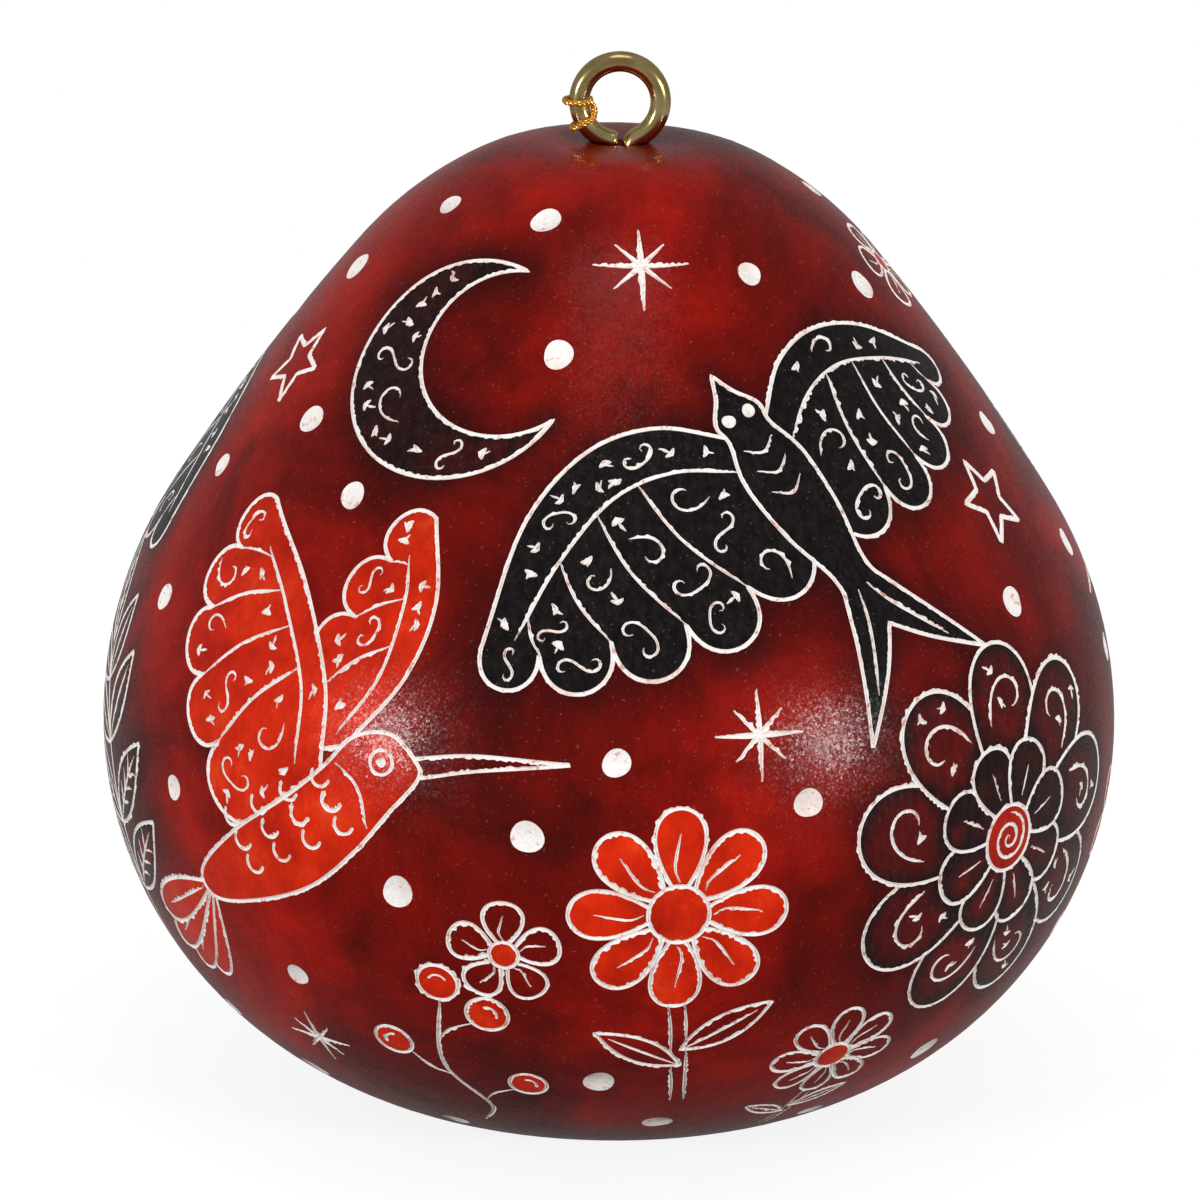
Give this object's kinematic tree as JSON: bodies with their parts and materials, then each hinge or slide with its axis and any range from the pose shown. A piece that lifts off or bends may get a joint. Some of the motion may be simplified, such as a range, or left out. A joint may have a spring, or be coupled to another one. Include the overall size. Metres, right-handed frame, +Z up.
{
  "type": "carved gourd ornament",
  "caption": "Hollow pear-shaped dried gourd, dyed red and carved all round, standing on its base, with a brass screw eye and a hitched gold thread for hanging it.",
  "frame": {"origin": "middle of the flat seat under the gourd, on the surface it stands on", "axes": "+Z up along the gourd's axis through the screw eye; the eye's ring lies in the XZ plane and faces -Y, the front"},
  "size_m": [0.075, 0.075, 0.0785],
  "materials": {
    "dyed_gourd": "red dyed gourd rind, satin lacquer",
    "brass_wire": "drawn wire, slightly dulled",
    "gold_thread": "shiny metallic thread",
    "gourd_seed": "dry, matt"
  },
  "bodies": {
    "gourd": {"gourd_shell": "dyed_gourd", "screw_eye": "brass_wire"},
    "thread": {"hanging_thread": "gold_thread"},
    "seeds": {"dried_seeds": "gourd_seed"}
  },
  "joints": [
    {"name": "thread_round_eye", "type": "hinge", "parent": "gourd", "child": "thread", "pos_m": [0, 0, 0.0748], "axis": [0, 1, 0], "range_deg": [-8, 215]},
    {"name": "seeds_rattle", "type": "slide", "parent": "gourd", "child": "seeds", "axis": [0, 0, 1], "range_m": [0, 0.03]}
  ]
}
